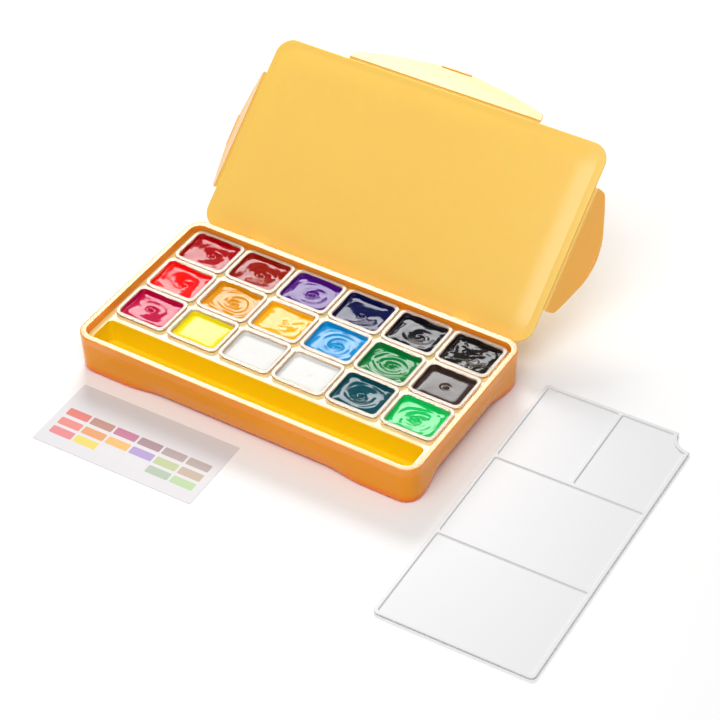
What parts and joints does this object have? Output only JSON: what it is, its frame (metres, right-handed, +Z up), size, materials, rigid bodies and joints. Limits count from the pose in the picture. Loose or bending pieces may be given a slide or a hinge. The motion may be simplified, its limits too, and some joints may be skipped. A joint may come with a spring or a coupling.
{
  "type": "gouache paint set box",
  "caption": "Moulded paint box with a hinged lid, snap flaps, lift-out cups of gouache, a brush trough, a mixing palette and a colour card.",
  "frame": {"origin": "centre of the tray's footprint, on the table", "axes": "+X to the right along the long side, +Y to the hinged back edge, +Z up"},
  "size_m": [0.4834, 0.4377, 0.1411],
  "materials": {
    "tray_plastic": "satin moulded polypropylene",
    "pin_steel": "plain drawn wire",
    "palette_plastic": "white, satin gloss",
    "coated_card": "coated printed card",
    "cup_plastic": "clear moulded polypropylene",
    "gouache_magenta": "wet gouache paste",
    "gouache_lemon_yellow": "wet gouache paste",
    "gouache_white_left": "wet gouache paste",
    "gouache_white_right": "wet gouache paste",
    "gouache_dark_teal": "wet gouache paste",
    "gouache_emerald": "wet gouache paste",
    "gouache_bright_red": "wet gouache paste",
    "gouache_ochre": "wet gouache paste",
    "gouache_golden_yellow": "wet gouache paste",
    "gouache_sky_blue": "wet gouache paste",
    "gouache_green": "wet gouache paste",
    "gouache_umber": "wet gouache paste",
    "gouache_dark_red": "wet gouache paste",
    "gouache_red_brown": "wet gouache paste",
    "gouache_purple": "wet gouache paste",
    "gouache_navy": "wet gouache paste",
    "gouache_blue_black": "wet gouache paste",
    "gouache_black": "wet gouache paste"
  },
  "bodies": {
    "base": {"base_tray": "tray_plastic", "hinge_pin_left": "pin_steel", "hinge_pin_right": "pin_steel"},
    "lid": {"lid": "tray_plastic"},
    "flap_front": {"flap_front": "tray_plastic"},
    "flap_left": {"flap_left": "tray_plastic"},
    "flap_right": {"flap_right": "tray_plastic"},
    "cup_magenta": {"cup_magenta": "cup_plastic", "paint_magenta": "gouache_magenta"},
    "cup_lemon_yellow": {"cup_lemon_yellow": "cup_plastic", "paint_lemon_yellow": "gouache_lemon_yellow"},
    "cup_white_left": {"cup_white_left": "cup_plastic", "paint_white_left": "gouache_white_left"},
    "cup_white_right": {"cup_white_right": "cup_plastic", "paint_white_right": "gouache_white_right"},
    "cup_dark_teal": {"cup_dark_teal": "cup_plastic", "paint_dark_teal": "gouache_dark_teal"},
    "cup_emerald": {"cup_emerald": "cup_plastic", "paint_emerald": "gouache_emerald"},
    "cup_bright_red": {"cup_bright_red": "cup_plastic", "paint_bright_red": "gouache_bright_red"},
    "cup_ochre": {"cup_ochre": "cup_plastic", "paint_ochre": "gouache_ochre"},
    "cup_golden_yellow": {"cup_golden_yellow": "cup_plastic", "paint_golden_yellow": "gouache_golden_yellow"},
    "cup_sky_blue": {"cup_sky_blue": "cup_plastic", "paint_sky_blue": "gouache_sky_blue"},
    "cup_green": {"cup_green": "cup_plastic", "paint_green": "gouache_green"},
    "cup_umber": {"cup_umber": "cup_plastic", "paint_umber": "gouache_umber"},
    "cup_dark_red": {"cup_dark_red": "cup_plastic", "paint_dark_red": "gouache_dark_red"},
    "cup_red_brown": {"cup_red_brown": "cup_plastic", "paint_red_brown": "gouache_red_brown"},
    "cup_purple": {"cup_purple": "cup_plastic", "paint_purple": "gouache_purple"},
    "cup_navy": {"cup_navy": "cup_plastic", "paint_navy": "gouache_navy"},
    "cup_blue_black": {"cup_blue_black": "cup_plastic", "paint_blue_black": "gouache_blue_black"},
    "cup_black": {"cup_black": "cup_plastic", "paint_black": "gouache_black"},
    "mixing_palette": {"mixing_palette": "palette_plastic"},
    "colour_card": {"colour_card": "coated_card"}
  },
  "joints": [
    {"name": "lid_hinge", "type": "hinge", "parent": "base", "child": "lid", "pos_m": [0, 0.087, 0.031], "axis": [-1, 0, 0], "range_deg": [-140.65, 0]},
    {"name": "front_flap_crease", "type": "hinge", "parent": "lid", "child": "flap_front", "pos_m": [0, 0.22445, 0.13605], "axis": [-1, 0, 0], "range_deg": [-122, 0]},
    {"name": "left_flap_crease", "type": "hinge", "parent": "lid", "child": "flap_left", "pos_m": [-0.15605, 0.15651, 0.08034], "axis": [0, -0.7733, -0.6341], "range_deg": [-142, 0]},
    {"name": "right_flap_crease", "type": "hinge", "parent": "lid", "child": "flap_right", "pos_m": [0.15605, 0.15651, 0.08034], "axis": [0, 0.7733, 0.6341], "range_deg": [-142, 0]},
    {"name": "cup_magenta_lift", "type": "slide", "parent": "base", "child": "cup_magenta", "axis": [0, 0, 1], "range_m": [0, 0.04]},
    {"name": "cup_lemon_yellow_lift", "type": "slide", "parent": "base", "child": "cup_lemon_yellow", "axis": [0, 0, 1], "range_m": [0, 0.04]},
    {"name": "cup_white_left_lift", "type": "slide", "parent": "base", "child": "cup_white_left", "axis": [0, 0, 1], "range_m": [0, 0.04]},
    {"name": "cup_white_right_lift", "type": "slide", "parent": "base", "child": "cup_white_right", "axis": [0, 0, 1], "range_m": [0, 0.04]},
    {"name": "cup_dark_teal_lift", "type": "slide", "parent": "base", "child": "cup_dark_teal", "axis": [0, 0, 1], "range_m": [0, 0.04]},
    {"name": "cup_emerald_lift", "type": "slide", "parent": "base", "child": "cup_emerald", "axis": [0, 0, 1], "range_m": [0, 0.04]},
    {"name": "cup_bright_red_lift", "type": "slide", "parent": "base", "child": "cup_bright_red", "axis": [0, 0, 1], "range_m": [0, 0.04]},
    {"name": "cup_ochre_lift", "type": "slide", "parent": "base", "child": "cup_ochre", "axis": [0, 0, 1], "range_m": [0, 0.04]},
    {"name": "cup_golden_yellow_lift", "type": "slide", "parent": "base", "child": "cup_golden_yellow", "axis": [0, 0, 1], "range_m": [0, 0.04]},
    {"name": "cup_sky_blue_lift", "type": "slide", "parent": "base", "child": "cup_sky_blue", "axis": [0, 0, 1], "range_m": [0, 0.04]},
    {"name": "cup_green_lift", "type": "slide", "parent": "base", "child": "cup_green", "axis": [0, 0, 1], "range_m": [0, 0.04]},
    {"name": "cup_umber_lift", "type": "slide", "parent": "base", "child": "cup_umber", "axis": [0, 0, 1], "range_m": [0, 0.04]},
    {"name": "cup_dark_red_lift", "type": "slide", "parent": "base", "child": "cup_dark_red", "axis": [0, 0, 1], "range_m": [0, 0.04]},
    {"name": "cup_red_brown_lift", "type": "slide", "parent": "base", "child": "cup_red_brown", "axis": [0, 0, 1], "range_m": [0, 0.04]},
    {"name": "cup_purple_lift", "type": "slide", "parent": "base", "child": "cup_purple", "axis": [0, 0, 1], "range_m": [0, 0.04]},
    {"name": "cup_navy_lift", "type": "slide", "parent": "base", "child": "cup_navy", "axis": [0, 0, 1], "range_m": [0, 0.04]},
    {"name": "cup_blue_black_lift", "type": "slide", "parent": "base", "child": "cup_blue_black", "axis": [0, 0, 1], "range_m": [0, 0.04]},
    {"name": "cup_black_lift", "type": "slide", "parent": "base", "child": "cup_black", "axis": [0, 0, 1], "range_m": [0, 0.04]},
    {"name": "palette_lift", "type": "slide", "parent": "base", "child": "mixing_palette", "axis": [0, 0, 1], "range_m": [0, 0.06]},
    {"name": "card_lift", "type": "slide", "parent": "base", "child": "colour_card", "axis": [0, 0, 1], "range_m": [0, 0.04]}
  ]
}
